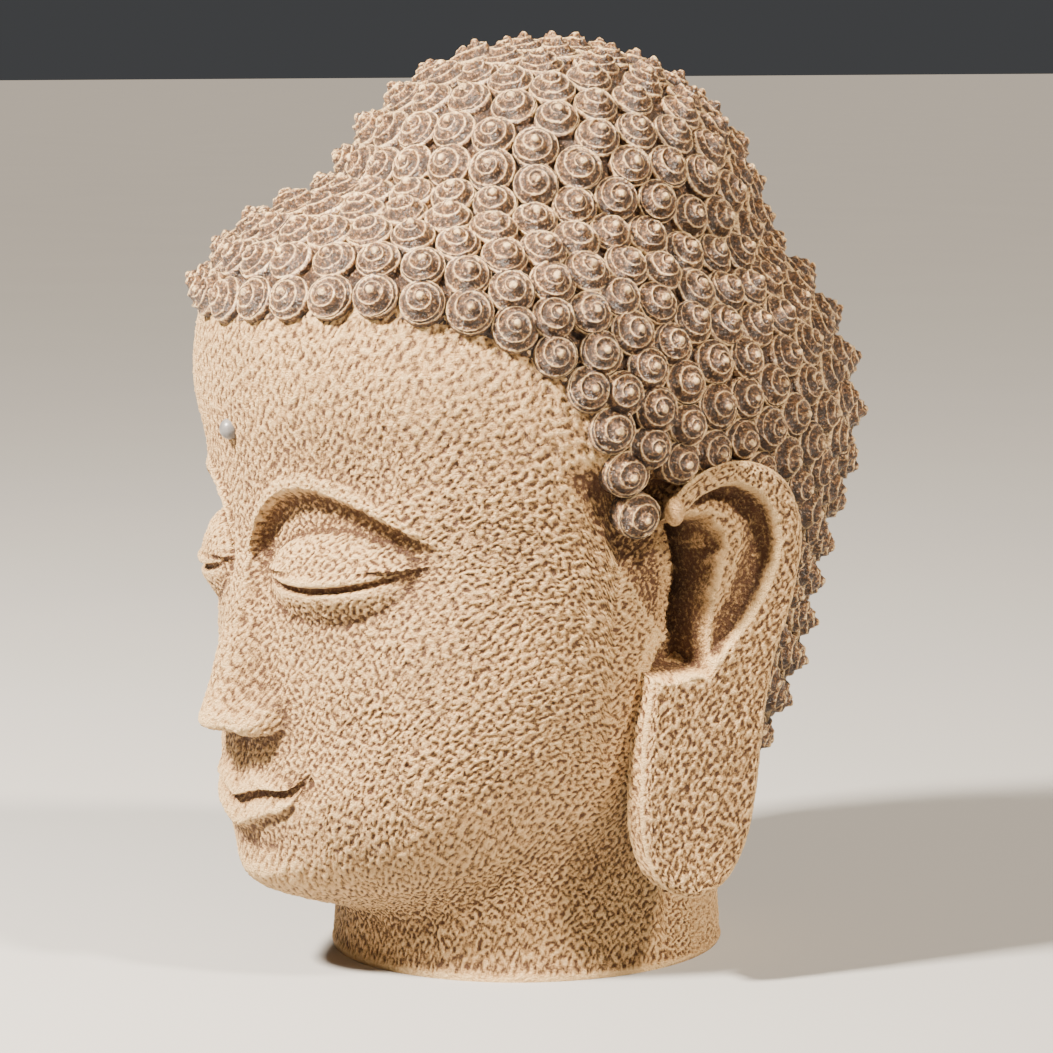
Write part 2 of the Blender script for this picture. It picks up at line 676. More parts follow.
def ring_faces(rows, lines):
    """Quads of closed rings of points, one ring after another."""
    number = np.arange(rows * lines).reshape(rows, lines)
    beside = np.roll(number, -1, axis=1)
    return np.stack((number[:-1], beside[:-1], beside[1:], number[1:]), axis=-1).reshape(-1, 4)


def put(name, data):
    """A new object in the scene with the given mesh, lamp or camera."""
    thing = bpy.data.objects.new(name, data)
    bpy.context.scene.collection.objects.link(thing)
    return thing


def make_piece(name, points, faces, relief, look, nodes, normals=None):
    """Puts points, faces and relief shares into a piece that stands for solids and rides on the root."""
    mesh = bpy.data.meshes.new(name)
    mesh.from_pydata(points.reshape(-1, 3) * PART, [], faces)
    shares = mesh.attributes.new("relief", "FLOAT", "POINT")
    shares.data.foreach_set("value", relief.reshape(-1).astype(np.float32))
    mesh.shade_smooth()
    if normals is not None:
        mesh.normals_split_custom_set_from_vertices(normals.reshape(-1, 3))
    mesh.materials.append(look)
    piece = put(name, mesh)
    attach(piece, "root")
    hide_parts(*nodes)
    return piece


def turn_lines():
    """Turns of the upright lines all the way round, from the right edge of the face."""
    spans = ((-FRONT_TURN, FRONT_TURN, FRONT_LINES), (FRONT_TURN, SIDE_TURN, SIDE_LINES),
             (SIDE_TURN, REAR_TURN, REAR_LINES), (REAR_TURN, 360.0 - REAR_TURN, NAPE_LINES),
             (360.0 - REAR_TURN, 360.0 - SIDE_TURN, REAR_LINES),
             (360.0 - SIDE_TURN, 360.0 - FRONT_TURN, SIDE_LINES))
    return np.concatenate([np.linspace(*span, endpoint=False) for span in spans])


def row_shares():
    """Shares of the rows from the ground up to the hair, closer together where they crowd."""
    level = np.linspace(0.0, 1.0, 2001)
    elevation = ROWS_FROM + ROWS_SPAN * level
    weight = np.ones(len(level))
    for middle, spread, more in ROW_CROWDS:
        weight += more * bell((elevation - middle) / spread)
    run = np.concatenate(([0.0], np.cumsum(0.5 * (weight[1:] + weight[:-1]))))
    return np.interp(np.linspace(0.0, run[-1], SKIN_ROWS + 1), run, level)


def elevation_at(angle, height):
    """Elevation of the skin at the given turn and height, seen from the inner centre."""
    level = height + 0.0 * angle
    return np.arctan2(level - EYE_LEVEL, plan_reach(angle, level))


def path_distance(spots, path):
    """Distance from each spot to a path of straight steps."""
    run = np.diff(path, axis=0)
    offset = spots[:, None] - path[:-1]
    share = np.clip((offset * run).sum(axis=-1) / (run ** 2).sum(axis=-1), 0.0, 1.0)
    return np.linalg.norm(offset - share[..., None] * run, axis=-1).min(axis=1)


def edge_distance(spots, knots, samples):
    """Distance from each spot to a smooth closed curve, negative outside it."""
    curve = loop_curve(knots, samples)
    closed = np.concatenate((curve, curve[:1]))
    run = np.diff(closed, axis=0)
    offset = spots[:, None] - curve
    rising = (curve[:, 1] > spots[:, 1:]) != (closed[1:, 1] > spots[:, 1:])
    crossing = curve[:, 0] + offset[..., 1] * run[:, 0] / np.where(run[:, 1] == 0.0, 1e-9, run[:, 1])
    inside = (rising & (spots[:, :1] < crossing)).sum(axis=1) % 2 == 1
    return path_distance(spots, closed) * np.where(inside, 1.0, -1.0)


def ear_recess(points):
    """How far the skin draws back inside the opening of the ear, from the distance to its edge."""
    shift = np.zeros(points.shape[:-1])
    knots = np.array(EAR_OPENING)
    place = points[..., 1:]
    inside = (place > knots.min(axis=0) - 4.0).all(axis=-1) & (place < knots.max(axis=0) + 4.0).all(axis=-1)
    near = inside & (np.abs(points[..., 0]) > EAR_COVER_SIDE)
    shift[near] = EAR_RECESS * soft_step((edge_distance(place[near], EAR_OPENING, 76) - 0.5) / 4.0)
    return shift


def temple_sink(y, z):
    """How far the corner between cheek and ear is sunk: a plane that falls away behind a slanting line."""
    beyond = y - TEMPLE_CORNER[0] + TEMPLE_RUN * (z - TEMPLE_CORNER[1])
    sink = TEMPLE_DEPTH * np.tanh(np.maximum(beyond, 0.0) * TEMPLE_SLOPE / TEMPLE_DEPTH)
    level = soft_step((z - TEMPLE_CORNER[1] + 12.0) / 24.0) * (1.0 - soft_step((z - TEMPLE_FADE) / 30.0))
    return sink * level * (1.0 - soft_step((y - TEMPLE_BACK) / 20.0))


def temple_share(points):
    """Where the scalp lies well under the skin: round the ear, below the top of the temple."""
    x, y, z = np.moveaxis(points, -1, 0)
    round_ear = soft_step((np.abs(x) - EAR_COVER_SIDE) / 40.0) * soft_step((TEMPLE_TOP - z) / 16.0)
    behind = soft_step((y - EAR_COVER_BACK + 12.0) / 12.0)
    return round_ear * soft_step((y - SCALP_SUNK_FRONT) / 30.0) * (1.0 - behind)


def skin_patch(name, first, lines, look, sizes):
    """A part of the skin: rays by turn and by even shares of elevation from the ground to the hair."""
    turns = turn_lines()
    column = np.arange(first - SPARE_LINES, first + lines + SPARE_LINES + 1) % len(turns)
    turn = turns[column]
    angle = np.radians(turn)
    folded = np.abs((turn + 180.0) % 360.0 - 180.0)
    edge = np.interp(folded, HAIR_EDGE_TURN, HAIR_EDGE_HEIGHT) + SKIN_UNDER_HAIR
    edge = np.maximum(edge, np.interp(folded, EAR_TURN, (TEMPLE_TOP, 0.0)))
    low = elevation_at(angle, 0.0)
    high = elevation_at(angle, edge)
    share = row_shares()[:, None]
    elevation = low + (high - low) * share
    level = np.cos(elevation)
    directions = np.stack((level * np.sin(angle), -level * np.cos(angle), np.sin(elevation)), axis=-1)
    points = skin(directions)
    beside = soft_step((np.abs(points[..., 0]) - EAR_COVER_SIDE) / 40.0)
    temple = beside * temple_sink(points[..., 1], points[..., 2])
    points -= directions * (ear_recess(points) + temple)[..., None]
    points[..., :2] *= 1.0 - FOOT_TUCK * (1.0 - soft_step(points[..., 2:] / FOOT_TUCK_HEIGHT))
    depth = hammered(points, sizes) * worked_share(points)
    points += grid_normals(points) * depth[..., None]
    points[0, :, 2] = 0.0
    points = np.clip(points, *(np.array(corner) / PART for corner in CAD_BOX))
    normals = grid_normals(points)
    relief = relief_shares(points, normals, SKIN_REACH) - TEMPLE_SHADE * soft_step(temple / 5.0)
    keep = slice(SPARE_LINES, -SPARE_LINES)
    points, normals, relief = points[:, keep], normals[:, keep], relief[:, keep]
    faces = grid_faces(len(points), lines + 1)
    return make_piece(name, points, faces, relief, look, ("head",), normals)


def underside(look):
    """The flat cut of the neck: rings shrinking from the rim to the middle."""
    angle = np.radians(turn_lines()[::UNDERSIDE_SKIP])
    out = plan_reach(angle, np.zeros(len(angle)))
    share = np.linspace(0.0, 1.0, UNDERSIDE_RINGS + 1)[1:, None]
    run = (1.0 - FOOT_TUCK) * share * out
    points = np.stack((run * np.sin(angle), -run * np.cos(angle), 0.0 * run), axis=-1)
    inner = 1.0 - soft_step((share - 0.9) / 0.1)
    points[..., 2] = UNDERSIDE_ROUGH * inner * soft_noise(points, UNDERSIDE_PITCH, 3)
    flat = np.concatenate((points.reshape(-1, 3), [[0.0, 0.0, 0.5 * UNDERSIDE_ROUGH]]))
    faces = [tuple(face) for face in ring_faces(len(points), len(angle))]
    last = len(flat) - 1
    faces += [(last, (side + 1) % len(angle), side) for side in range(len(angle))]
    return make_piece("underside", flat, faces, np.full(len(flat), 0.5), look, ("head",))


def scalp(look):
    """The skin between the curls: directions swept from the edge of the hair to the pole of its rows."""
    turn = np.linspace(0.0, 360.0, SCALP_LINES, endpoint=False)
    folded = np.abs((turn + 180.0) % 360.0 - 180.0)
    side = np.where(turn > 180.0, -1.0, 1.0)
    edge = hair_edge(folded) * np.stack((side, *np.ones((2, len(turn)))), axis=-1)
    rows = toward_pole(edge, np.linspace(0.0, 1.0, SCALP_ROWS)[:-1, None, None])
    rough = SCALP_ROUGH * (soft_noise(rows, SCALP_ROUGH_TURN, 9) - 0.5)
    points = along(rows, bare(rows)[0] - SCALP_UNDER + rough)
    points -= rows * (ear_recess(points) + temple_share(points) * SCALP_SUNK)[..., None]
    pole = directions_of(np.array([HAIR_POLE]))
    flat = np.concatenate((points.reshape(-1, 3), along(pole, bare(pole)[0])))
    faces = [tuple(face) for face in ring_faces(SCALP_ROWS - 1, SCALP_LINES)]
    start = (SCALP_ROWS - 2) * SCALP_LINES
    last = (SCALP_ROWS - 1) * SCALP_LINES
    faces += [(start + side, start + (side + 1) % SCALP_LINES, last) for side in range(SCALP_LINES)]
    return make_piece("scalp", flat, faces, np.full(len(flat), SCALP_RELIEF), look, ("head",))


def lip_height(turns):
    """Height of a shell's lip after some turns from the knob: almost level at first, then falling away."""
    return LIP_START - LIP_FALL * turns - LIP_STEEPER * turns ** 2


def shell_form():
    """Radius, angle, height and relief shares of one shell curl on its lines, with the faces between them.

    A lip winds outward from the knob. A line keeps a fixed share of the way from one pass of the lip to the
    next, so it closes on the line one whorl further out. Height falls from the inner lip down a steep flank
    to a terrace that ends in the outer lip. The first lines start on the knob, the last end on the foot.
    """
    stops = len(WHORL_STOPS)
    last = (WHORLS + 1) * stops
    line, side = np.meshgrid(np.arange(last + 1), np.arange(SHELL_SIDES), indexing="ij")
    turn = side / SHELL_SIDES
    inner = np.clip(line // stops - 1 + turn, 0.0, WHORLS)
    outer = np.clip(line // stops + turn, 0.0, WHORLS)
    stop = line % stops
    span = outer - inner
    radius = KNOB_RADIUS + (1.0 - KNOB_RADIUS) / WHORLS * (inner + span * np.array(WHORL_STOPS)[stop])
    fall = lip_height(outer) - lip_height(inner)
    height = lip_height(inner) + fall * np.array(STOP_FALL)[stop] - span * np.array(STOP_DROP)[stop]
    relief = np.array(STOP_RELIEF)[stop]
    lip_start = KNOB_FOLD_RELIEF + (1.0 - KNOB_FOLD_RELIEF) * soft_step(turn / 0.2)
    relief = np.where(line == 0, KNOB_FOLD_RELIEF, np.where(line == stops, lip_start, relief))
    ring = np.ones(SHELL_SIDES)
    radius, height, relief = (
        np.stack([knob[axis] * ring for knob in KNOB_RINGS] + list(lines)
                 + [foot[axis] * ring for foot in FOOT_RINGS])
        for axis, lines in enumerate((radius, height, relief)))
    number = np.arange(radius.size).reshape(radius.shape)
    first = len(KNOB_RINGS)
    number[first + 1:first + stops + 1, 0] = number[first, 0]
    beside = np.concatenate((number, number[:, :1]), axis=1)
    outward = np.minimum(first + np.arange(last + 1) + stops, first + last)
    beside[first:first + last + 1, -1] = number[outward, 0]
    corners = np.stack((beside[:-1, :-1], beside[:-1, 1:], beside[1:, 1:], beside[1:, :-1]), axis=-1)
    tip = radius.size
    faces = [tuple(dict.fromkeys(face)) for face in corners.reshape(-1, 4).tolist()]
    faces += [(tip, after, here) for here, after in zip(beside[0, :-1].tolist(), beside[0, 1:].tolist())]
    angle = 2.0 * math.pi * np.broadcast_to(np.arange(SHELL_SIDES) / SHELL_SIDES, radius.shape)
    radius, angle, height, relief = (np.append(values.reshape(-1), end) for values, end in
                                     ((radius, 0.0), (angle, 0.0), (height, 1.0), (relief, 1.0)))
    used = np.unique(np.concatenate(faces))
    renumber = np.full(len(radius), -1)
    renumber[used] = np.arange(len(used))
    faces = [tuple(renumber[list(face)].tolist()) for face in faces if len(face) > 2]
    return radius[used], angle[used], height[used], relief[used], faces


def shell_curls(name, middles, look, sizes):
    """Shell curls set on the scalp, each turned, sized and leant a little differently."""
    count = len(middles)
    base = bare(middles)[1]
    normals = skin_normals(middles)
    across = unit(np.cross(normals, np.array((0.0, 0.0, 1.0))))
    upward = np.cross(across, normals)
    cells = np.round(base * 7.0).astype(np.int64)
    spin = 2.0 * math.pi * scatter(cells, 21)[:, None]
    wide = (sizes.curl_radius / PART * (0.95 + 0.09 * scatter(cells, 22)))[:, None]
    tall = (sizes.curl_rise / PART * (0.88 + 0.11 * scatter(cells, 23)))[:, None]
    lean = [wide * CURL_LEAN * (scatter(cells, salt)[:, None] - 0.5) for salt in (24, 25)]
    radius, angle, height, relief, one = shell_form()
    each = len(radius)
    run = radius * wide
    side = (run * np.cos(angle + spin) + lean[0] * height)[..., None] * across[:, None]
    side = side + (run * np.sin(angle + spin) + lean[1] * height)[..., None] * upward[:, None]
    points = base[:, None] + side + (height * tall)[..., None] * normals[:, None]
    points += CURL_ROUGH * (soft_noise(points, CURL_ROUGH_PITCH, 31) - 1.0)[..., None] * normals[:, None]
    mottle = CURL_MOTTLE * (soft_noise(points, CURL_MOTTLE_PITCH, 33) - 0.5)
    shares = np.clip(relief + mottle, 0.0, 1.0)
    start = each * np.arange(count)[:, None, None]
    faces = []
    for corners in (3, 4):
        kind = np.array([face for face in one if len(face) == corners])
        faces += (kind[None] + start).reshape(-1, corners).tolist()
    return make_piece(name, points.reshape(-1, 3), faces, shares, look, ("head",))


def ear_level(y, z):
    """How far the front of the ear stands off its plane: the rim and the dip by the cheek."""
    beside = soft_step((z - EAR_CUT_BOTTOM) / 14.0) * (1.0 - soft_step((z - EAR_FRONT_TOP) / 24.0))
    beside *= 1.0 - soft_step((y - EAR_FRONT_BACK) / 14.0)
    cheek = march(lambda length: masses(length, y, z) < 0.0, np.full(len(y), FAR))
    skin_level = cheek - ear_place(y, z, 0.0)[:, 0] - temple_sink(y, z) - EAR_UNDER_SKIN
    lobe = soft_step((EAR_FREE_BELOW - z) / 60.0) * bell((y - LOBE_MIDDLE) / 48.0)
    return EAR_FRONT * (1.0 - beside) + skin_level * beside + 2.5 * (lobe - 1.0)


def ear_carving(spots):
    """How deep the ear is cut inside: a groove under the rim, a ridge, and bowl and hollow within it."""
    wall = soft_step((edge_distance(spots, EAR_CUT, 114) + 2.0) / 7.0)
    bowl = soft_step((edge_distance(spots, EAR_BOWL_EDGE, 96) + 3.0) / 7.0)
    hollow_share = soft_step((edge_distance(spots, EAR_HOLLOW_EDGE, 96) + 3.0) / 7.0)
    groove = EAR_GROOVE * (0.45 + 0.55 * soft_step((spots[:, 1] - EAR_GROOVE_FOOT) / 50.0))
    deep = groove + (EAR_HOLLOW - groove) * hollow_share
    deep += (EAR_BOWL - deep) * bowl
    ridge = 1.0 - soft_step((path_distance(spots, np.array(EAR_RIDGE)) - 4.0) / EAR_RIDGE_FALL)
    return wall * (deep + (EAR_RIDGE_DEPTH - deep) * ridge * (1.0 - bowl) * (1.0 - hollow_share))


def ear_front():
    """The left ear's front and its depth: lines from front to back edge, from the lobe to the top."""
    outline = loop_curve(EAR_OUTLINE, 760)
    outline = np.roll(outline, -outline[:, 1].argmin(), axis=0)
    top = outline[:, 1].argmax()
    share = np.linspace(0.003, 0.997, EAR_ROWS)
    edges = []
    for half in (outline[:top + 1], np.concatenate((outline[top:], outline[:1]))[::-1]):
        run = run_along(half)
        edges.append(np.stack([np.interp(share * run[-1], run, half[:, axis]) for axis in (0, 1)], axis=-1))
    across = np.linspace(0.0, 1.0, EAR_COLUMNS)[None, :, None]
    across = across - EAR_CROWDING * np.sin(2.0 * math.pi * across)
    place = edges[0][:, None] + (edges[1] - edges[0])[:, None] * across
    spots = place.reshape(-1, 2)
    level = ear_level(spots[:, 0], spots[:, 1])
    for inset, edge in ((edge_distance(spots, EAR_OUTLINE, 228), EAR_EDGE),
                        (-edge_distance(spots, EAR_CUT, 114), EAR_INNER_EDGE)):
        inset = np.clip(inset / edge, 0.0, 1.0)
        level -= edge * (1.0 - np.sqrt(1.0 - (1.0 - inset) ** 2))
    level -= ear_carving(spots)
    place = ear_place(spots[:, 0], spots[:, 1], level)
    return place.reshape(EAR_ROWS, EAR_COLUMNS, 3), (EAR_FRONT - level).reshape(EAR_ROWS, EAR_COLUMNS)


def ear_behind(border):
    """Rings from the border of the ear's front down its wall, round its back edge and in to its root."""
    step = np.roll(border, -1, axis=0) - np.roll(border, 1, axis=0)
    outward = unit(np.stack((-step[:, 2], step[:, 1]), axis=-1), 1e-9)
    front = border[:, 0] - ear_place(border[:, 1], border[:, 2], 0.0)[:, 0]
    back = -EAR_BACK - EAR_SUNK * soft_step((border[:, 2] - EAR_FREE_BELOW) / 70.0)
    rings = [(border[:, 1:], front + (back + EAR_EDGE - front) * share)
             for share in np.linspace(0.0, 1.0, EAR_WALL_RINGS)[1:]]
    rings += [(border[:, 1:] - outward * EAR_EDGE * (1.0 - math.cos(swing)),
               back + EAR_EDGE * (1.0 - math.sin(swing))) for swing in np.radians((30.0, 60.0, 90.0))]
    edge, level = rings[-1]
    root = np.array(EAR_ROOT[:2])
    rings += [(edge + (root - edge) * share, level + (EAR_ROOT[2] - level) * share)
              for share in np.linspace(0.0, 1.0, EAR_BACK_RINGS + 1)[1:-1]]
    return np.stack([ear_place(place[:, 0], place[:, 1], level) for place, level in rings])


def ball(lines):
    """Corners and faces of a closed ball of radius 1: rings from pole to pole."""
    polar, around = np.meshgrid(np.linspace(0.0, math.pi, lines // 2)[1:-1],
                                2.0 * math.pi * np.arange(lines) / lines, indexing="ij")
    out = np.sin(polar)
    ring = np.stack((out * np.cos(around), out * np.sin(around), -np.cos(polar)), axis=-1)
    flat = np.concatenate((ring.reshape(-1, 3), [[0.0, 0.0, -1.0], [0.0, 0.0, 1.0]]))
    faces = [tuple(face) for face in ring_faces(len(ring), lines)]
    last = (len(ring) - 1) * lines
    for side in range(lines):
        after = (side + 1) % lines
        faces.append((after, side, len(flat) - 2))
        faces.append((last + side, last + after, len(flat) - 1))
    return flat, faces


def ear(name, side, look, sizes):
    """One ear: its carved front, rings that close it behind down to its root, and the knob at its top."""
    front, depth = ear_front()
    normals = grid_normals(front)
    level_share = soft_step((np.abs(normals[..., 0]) - 0.1) / 0.4)
    front = front + normals * (hammered(front, sizes) * level_share)[..., None]
    number = np.arange(front[..., 0].size).reshape(front.shape[:2])
    border = np.concatenate((number[:, 0], number[-1, 1:-1], number[::-1, -1], number[0, -2:0:-1]))
    rings = ear_behind(front.reshape(-1, 3)[border])
    wrapped = np.concatenate((rings[:, -SPARE_LINES:], rings, rings[:, :SPARE_LINES]), axis=1)
    wrapped = wrapped + grid_normals(wrapped) * hammered(wrapped, sizes)[..., None]
    relief = relief_shares(wrapped, grid_normals(wrapped), EAR_REACH)
    keep = slice(SPARE_LINES, -SPARE_LINES)
    root = ear_place(*np.array(EAR_ROOT)[:, None])
    flat = np.concatenate((front.reshape(-1, 3), wrapped[:, keep].reshape(-1, 3), root))
    shade = relief_shares(front, grid_normals(front), EAR_REACH)
    shade -= EAR_SHADE * soft_step((depth - 9.0) / 16.0)
    shares = np.concatenate((np.clip(shade, 0.0, 1.0).reshape(-1), relief[:, keep].reshape(-1), (0.5,)))
    behind = number.size + np.arange(len(rings) * len(border)).reshape(len(rings), -1)
    ring = np.concatenate((border[None], behind))
    beside = np.roll(ring, -1, axis=1)
    walls = np.stack((ring[:-1], beside[:-1], beside[1:], ring[1:]), axis=-1).reshape(-1, 4)
    fan = np.stack((ring[-1], beside[-1], np.full(len(border), len(flat) - 1)), axis=-1)
    faces = grid_faces(*number.shape).tolist() + walls.tolist() + fan.tolist()
    knob, knob_faces = ball(EAR_KNOB_LINES)
    y, z, height = np.array(EAR_KNOB)[:, None]
    faces += [tuple(corner + len(flat) for corner in face) for face in knob_faces]
    flat = np.concatenate((flat, knob * EAR_KNOB_SIZE + ear_place(y, z, EAR_FRONT - height)))
    shares = np.concatenate((shares, np.full(len(knob), EAR_KNOB_RELIEF)))
    if side < 0:
        flat = flat * np.array((-1.0, 1.0, 1.0))
        faces = [face[::-1] for face in faces]
    return make_piece(name, flat, faces, shares, look, ("head",))


def bead(look):
    """A smooth ball where the frame has its bead: rings from pole to pole."""
    middle = 0.5 * (BEAD_LOW + BEAD_HIGH) / PART
    radius = 0.5 * (BEAD_HIGH - BEAD_LOW)[1] / PART
    flat, faces = ball(BEAD_LINES)
    flat = flat * radius + middle
    return make_piece("urna_ball", flat, faces, np.full(len(flat), 0.5), look, ("urna_bead",))


def new_look(name, roughness, specular):
    """A material with its shader, and a helper that adds a node fed with the given inputs."""
    look = bpy.data.materials.new(name)
    look.use_nodes = True
    tree = look.node_tree
    shader = tree.nodes["Principled BSDF"]
    shader.inputs["Roughness"].default_value = roughness
    shader.inputs["Specular IOR Level"].default_value = specular

    def add(kind, inputs, **settings):
        node = tree.nodes.new(kind)
        for key, value in settings.items():
            setattr(node, key, value)
        for key, value in inputs.items():
            if isinstance(value, bpy.types.NodeSocket):
                tree.links.new(value, node.inputs[key])
            else:
                node.inputs[key].default_value = value
        return node

    return look, shader, add


def toned(colour, share):
    """The colour made darker or paler."""
    return [share * part for part in colour[:3]]


def ramp_colours(node, stops):
    """Sets a colour ramp to the given places and colours."""
    stops_here = node.color_ramp.elements
    while len(stops_here) < len(stops):
        stops_here.new(0.5)
    for element, (place, colour) in zip(stops_here, stops):
        element.position = place
        element.color = (*colour[:3], 1.0)


def relief_look(name, stops, roughness, specular, grain, mottle):
    """Stone coloured by its relief, mottled where it lies low, with slow patches of tone and a grain."""
    look, shader, add = new_look(name, roughness, specular)
    place = add("ShaderNodeTexCoord", {}).outputs["Object"]
    relief = add("ShaderNodeAttribute", {}, attribute_name="relief").outputs["Fac"]

    def noise(scale, detail, rough):
        inputs = {"Vector": place, "Scale": scale, "Detail": detail, "Roughness": rough}
        return add("ShaderNodeTexNoise", inputs).outputs["Fac"]

    def work(operation, *values, **settings):
        return add("ShaderNodeMath", dict(enumerate(values)), operation=operation, **settings).outputs[0]

    fine = noise(*FINE_NOISE)
    spots = noise(*SPOT_NOISE)
    slow = noise(*SLOW_NOISE)
    swing = work("MULTIPLY", work("SUBTRACT", spots, 0.5), mottle)
    swing = work("MULTIPLY", swing, work("SUBTRACT", 1.25, relief))
    speck = work("MULTIPLY_ADD", work("SUBTRACT", fine, 0.5), 0.35, swing)
    ramp = add("ShaderNodeValToRGB", {"Fac": work("ADD", relief, speck, use_clamp=True)})
    ramp_colours(ramp, stops)
    tone = add("ShaderNodeMapRange", {"Value": slow, "From Min": 0.3, "From Max": 0.7,
                                      "To Min": SLOW_TONES[0], "To Max": SLOW_TONES[1]})
    mixed = add("ShaderNodeVectorMath", {0: ramp.outputs["Color"]}, operation="SCALE")
    bump = add("ShaderNodeBump", {"Height": work("ADD", fine, spots), "Strength": 1.0, "Distance": grain})
    links = look.node_tree.links
    links.new(tone.outputs["Result"], mixed.inputs["Scale"])
    links.new(mixed.outputs["Vector"], shader.inputs["Base Color"])
    links.new(bump.outputs["Normal"], shader.inputs["Normal"])
    return look


def cloud_look(name, roughness, specular, scale, detail, stops):
    """A plain material with faint clouds between two tones."""
    look, shader, add = new_look(name, roughness, specular)
    place = add("ShaderNodeTexCoord", {}).outputs["Object"]
    cloud = add("ShaderNodeTexNoise", {"Vector": place, "Scale": scale, "Detail": detail})
    ramp = add("ShaderNodeValToRGB", {"Fac": cloud.outputs["Fac"]})
    ramp_colours(ramp, stops)
    look.node_tree.links.new(ramp.outputs["Color"], shader.inputs["Base Color"])
    return look


def bead_look(colour):
    """Smooth grey stone with faint clouds and a soft gloss."""
    stops = ((0.3, toned(colour, 0.75)), (0.7, toned(colour, 1.2)))
    return cloud_look("bead", roughness=0.32, specular=0.5, scale=260.0, detail=3.0, stops=stops)


def floor_look(colour):
    """Matt pale floor with very faint clouds."""
    stops = ((0.2, toned(colour, 0.97)), (0.8, colour))
    return cloud_look("floor", roughness=0.9, specular=0.2, scale=3.0, detail=2.0, stops=stops)


def aim(thing, target):
    """Turns a light or camera towards a point."""
    thing.rotation_euler = (thing.location - Vector(target)).to_track_quat("Z", "Y").to_euler()


def lamp(name, kind, place, target, power, colour, shape):
    """A lamp of the given kind at a place, turned to a target, with its own measures of size."""
    data = bpy.data.lights.new(name, kind)
    data.energy = power
    data.color = colour
    for key, value in shape.items():
        setattr(data, key, value)
    thing = put(name, data)
    thing.location = place
    aim(thing, target)


def floor(look):
    """A wide flat square on the ground."""
    mesh = bpy.data.meshes.new("floor")
    corners = [(x * FLOOR_REACH, y * FLOOR_REACH, 0.0) for x, y in ((-1, -1), (1, -1), (1, 1), (-1, 1))]
    mesh.from_pydata(corners, [], [(0, 1, 2, 3)])
    mesh.materials.append(look)
    put("floor", mesh)


def studio(scene):
    """The world's faint even light and the lamps."""
    scene.world = bpy.data.worlds.new("studio")
    scene.world.use_nodes = True
    backdrop = scene.world.node_tree.nodes["Background"]
    backdrop.inputs["Color"].default_value = WORLD_COLOUR
    backdrop.inputs["Strength"].default_value = WORLD_STRENGTH
    for values in LAMPS:
        lamp(*values)


def photo_camera(scene):
    """A camera on the photo's side: its distance from the target along azimuth and elevation."""
    data = bpy.data.cameras.new("camera")
    data.lens = CAMERA_LENS
    data.sensor_width = CAMERA_SENSOR
    azimuth = math.radians(CAMERA_AZIMUTH)
    elevation = math.radians(CAMERA_ELEVATION)
    level = math.cos(elevation)
    back = Vector((math.sin(azimuth) * level, -math.cos(azimuth) * level, math.sin(elevation)))
    scene.camera = put("camera", data)
    scene.camera.location = Vector(CAMERA_TARGET) + CAMERA_DISTANCE * back
    aim(scene.camera, CAMERA_TARGET)


def length_property(name, description, default):
    """A length that a user can change."""
    return bpy.props.FloatProperty(name=name, description=description, default=default, unit="LENGTH",
                                   subtype="DISTANCE")


class StatueSizes(bpy.types.PropertyGroup):
    """Sizes of the worked relief."""

    curl_radius: length_property("Curl radius", "Radius of a shell curl at its foot", CURL_RADIUS * PART)
    curl_rise: length_property("Curl rise", "How far a shell curl stands off the scalp", CURL_RISE * PART)
    pit_spacing: length_property("Pit spacing", "Distance between the pits of the skin", 0.0027)
    pit_depth: length_property("Pit depth", "Depth of the pits of the skin", 0.0016)
    lump_depth: length_property("Lump depth", "Depth of the slow lumps of the skin", 0.0008)


def colour_property(name, description, default):
    """A colour that a user can change."""
    return bpy.props.FloatVectorProperty(name=name, description=description, default=default, size=4,
                                         min=0.0, max=1.0, subtype="COLOR")


class StatueColours(bpy.types.PropertyGroup):
    """Colours of the stone, the bead and the floor."""

    sand: colour_property("Sand", "Colour of the plain skin", (0.60, 0.335, 0.130, 1.0))
    pit: colour_property("Pit", "Dark wash in pits and folds", (0.115, 0.047, 0.018, 1.0))
    worn: colour_property("Worn", "Pale worn ridges", (0.87, 0.585, 0.275, 1.0))
    groove: colour_property("Groove", "Dark wash between and in the curls", (0.030, 0.014, 0.007, 1.0))
    shell: colour_property("Shell", "Body of the curls", (0.24, 0.108, 0.038, 1.0))
    cream: colour_property("Cream", "Dry-brushed edges of the curls", (0.92, 0.655, 0.325, 1.0))
    bead: colour_property("Bead", "Colour of the bead", (0.17, 0.16, 0.155, 1.0))
    floor: colour_property("Floor", "Colour of the floor", (0.36, 0.35, 0.335, 1.0))


def stone_look(colours):
    """The pitted skin: dark pits, sand between them and pale worn ridges."""
    stops = ((0.0, colours.pit), (0.32, toned(colours.sand, 0.5)), (0.55, colours.sand),
             (1.0, colours.worn))
    return relief_look("pitted_stone", stops, roughness=0.62, specular=0.4, grain=0.0034, mottle=2.2)


def hair_look(colours):
    """The curls: near-black spots, gold-brown bodies and cream lips."""
    between = [0.45 * (one + other) for one, other in zip(colours.shell[:3], colours.cream[:3])]
    stops = ((0.0, colours.groove), (0.28, toned(colours.shell, 0.3)), (0.56, colours.shell),
             (0.78, between), (1.0, colours.cream))
    return relief_look("brushed_curls", stops, roughness=0.30, specular=0.8, grain=0.0020, mottle=3.2)


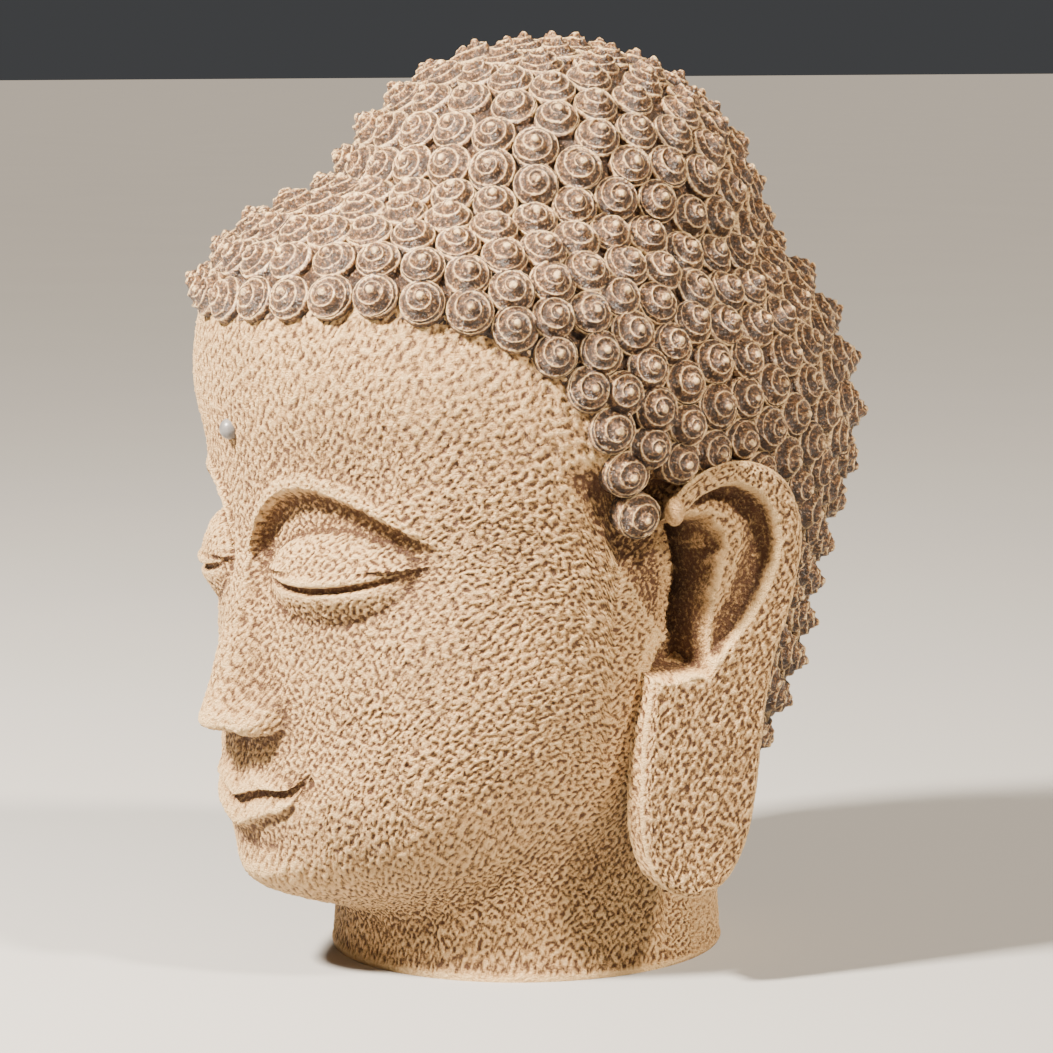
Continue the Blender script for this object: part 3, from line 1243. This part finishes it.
class STATUE_OT_skin(bpy.types.Operator):
    """Makes the face, the sides of the head, the nape and the cut of the neck"""

    bl_idname = "statue.skin"
    bl_label = "Skin"

    def execute(self, context):
        sizes = context.scene.statue_sizes
        look = stone_look(context.scene.statue_colours)
        first = 0
        for name, lines in (("face", FRONT_LINES), ("left_side", SIDE_LINES),
                            ("nape", NAPE_LINES + 2 * REAR_LINES), ("right_side", SIDE_LINES)):
            skin_patch(name, first, lines, look, sizes)
            first += lines
        underside(look)
        return {"FINISHED"}


class STATUE_OT_hair(bpy.types.Operator):
    """Makes the scalp and its shell curls"""

    bl_idname = "statue.hair"
    bl_label = "Hair"

    def execute(self, context):
        look = hair_look(context.scene.statue_colours)
        scalp(look)
        middles = curl_directions()
        order = np.argsort(np.degrees(np.arctan2(middles[:, 0], -middles[:, 1])))
        names = ("curls_right", "curls_middle", "curls_left")
        for name, batch in zip(names, np.array_split(order, len(names))):
            shell_curls(name, middles[batch], look, context.scene.statue_sizes)
        return {"FINISHED"}


class STATUE_OT_ears(bpy.types.Operator):
    """Makes both ears with their long lobes"""

    bl_idname = "statue.ears"
    bl_label = "Ears"

    def execute(self, context):
        look = stone_look(context.scene.statue_colours)
        ear("left_ear", 1, look, context.scene.statue_sizes)
        ear("right_ear", -1, look, context.scene.statue_sizes)
        return {"FINISHED"}


class STATUE_OT_bead(bpy.types.Operator):
    """Makes the bead in the forehead"""

    bl_idname = "statue.bead"
    bl_label = "Bead"

    def execute(self, context):
        bead(bead_look(context.scene.statue_colours.bead))
        return {"FINISHED"}


class STATUE_OT_stage(bpy.types.Operator):
    """Makes the floor, the soft lights and the camera"""

    bl_idname = "statue.stage"
    bl_label = "Stage"

    def execute(self, context):
        floor(floor_look(context.scene.statue_colours.floor))
        studio(context.scene)
        photo_camera(context.scene)
        return {"FINISHED"}


class STATUE_PT_panel(bpy.types.Panel):
    """Lists the pieces of the head and its sizes and colours"""

    bl_idname = "STATUE_PT_panel"
    bl_label = "Cast head"
    bl_space_type = "VIEW_3D"
    bl_region_type = "UI"
    bl_category = "Cast head"

    def draw(self, context):
        for group in (context.scene.statue_sizes, context.scene.statue_colours):
            for name in group.bl_rna.properties.keys():
                if name not in ("rna_type", "name"):
                    self.layout.prop(group, name)
        for operator in OPERATORS:
            self.layout.operator(operator.bl_idname)


OPERATORS = (STATUE_OT_skin, STATUE_OT_hair, STATUE_OT_ears, STATUE_OT_bead, STATUE_OT_stage)
CLASSES = (StatueSizes, StatueColours, *OPERATORS, STATUE_PT_panel)


def register():
    for kind in CLASSES:
        bpy.utils.register_class(kind)
    bpy.types.Scene.statue_sizes = bpy.props.PointerProperty(type=StatueSizes)
    bpy.types.Scene.statue_colours = bpy.props.PointerProperty(type=StatueColours)


def unregister():
    del bpy.types.Scene.statue_colours
    del bpy.types.Scene.statue_sizes
    for kind in reversed(CLASSES):
        bpy.utils.unregister_class(kind)


def main():
    register()
    bpy.ops.statue.skin()
    bpy.ops.statue.hair()
    bpy.ops.statue.ears()
    bpy.ops.statue.bead()
    bpy.ops.statue.stage()


if __name__ == "__main__":
    main()
